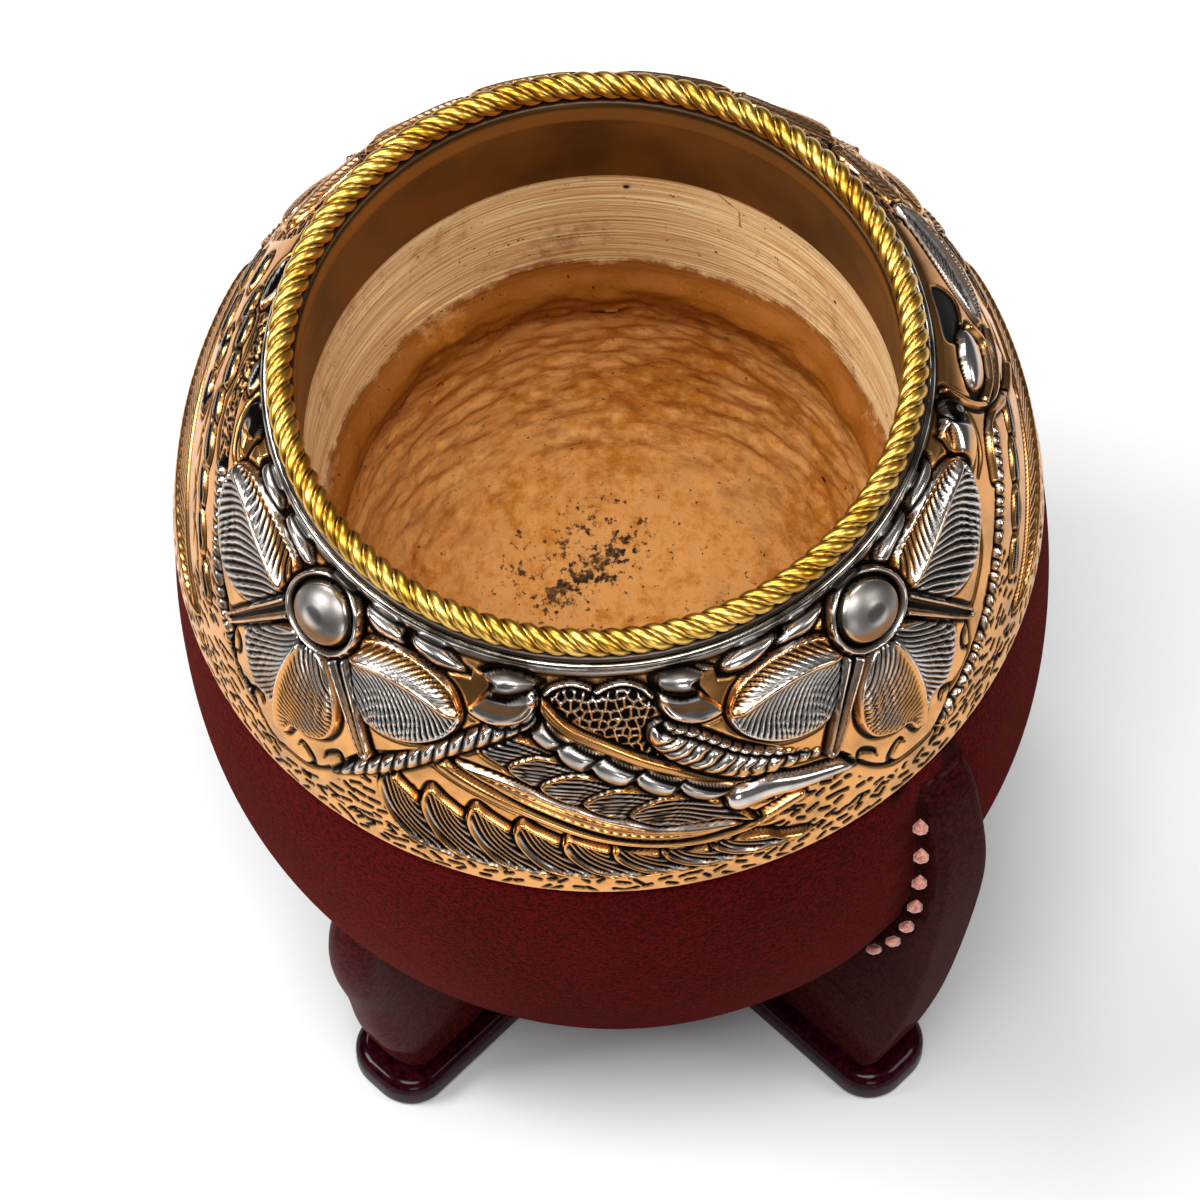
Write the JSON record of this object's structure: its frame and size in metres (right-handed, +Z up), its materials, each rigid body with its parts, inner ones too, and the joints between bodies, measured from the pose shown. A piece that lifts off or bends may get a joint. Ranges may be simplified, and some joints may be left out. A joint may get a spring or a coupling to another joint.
{
  "type": "mate gourd cup",
  "caption": "Empty footed mate gourd cup: calabash covered in burgundy leather, chased silver ferrule, twisted gold rope rim, cross-shaped leather base with upright legs.",
  "frame": {"origin": "on the ground, under the middle of the base plate", "axes": "+Z up, -Y toward the front that the picture shows, the cup leans 2.2 degrees toward -X"},
  "size_m": [0.0949, 0.095, 0.1201],
  "materials": {
    "gourd": "matt",
    "leather": "satin",
    "leg_leather": "glossy",
    "silver": "polished, patina in the recesses",
    "gold": "polished",
    "collar_metal": "worn",
    "stitch_thread": "satin"
  },
  "bodies": {
    "root": {"gourd": "gourd", "leather_cover": "leather", "inner_collar": "collar_metal", "ferrule": "silver", "rope_rim": "gold", "rim_wire": "silver", "base_plate": "leg_leather", "leg_front_left": "leg_leather", "leg_back_left": "leg_leather", "leg_back_right": "leg_leather", "leg_front_right_seam": "leg_leather", "stitch_left_1": "stitch_thread", "stitch_left_2": "stitch_thread", "stitch_left_3": "stitch_thread", "stitch_left_4": "stitch_thread", "stitch_left_5": "stitch_thread", "stitch_left_6": "stitch_thread", "stitch_left_7": "stitch_thread", "stitch_left_8": "stitch_thread", "stitch_left_9": "stitch_thread", "stitch_right_1": "stitch_thread", "stitch_right_2": "stitch_thread", "stitch_right_3": "stitch_thread", "stitch_right_4": "stitch_thread", "stitch_right_5": "stitch_thread", "stitch_right_6": "stitch_thread", "stitch_right_7": "stitch_thread"}
  },
  "joints": []
}
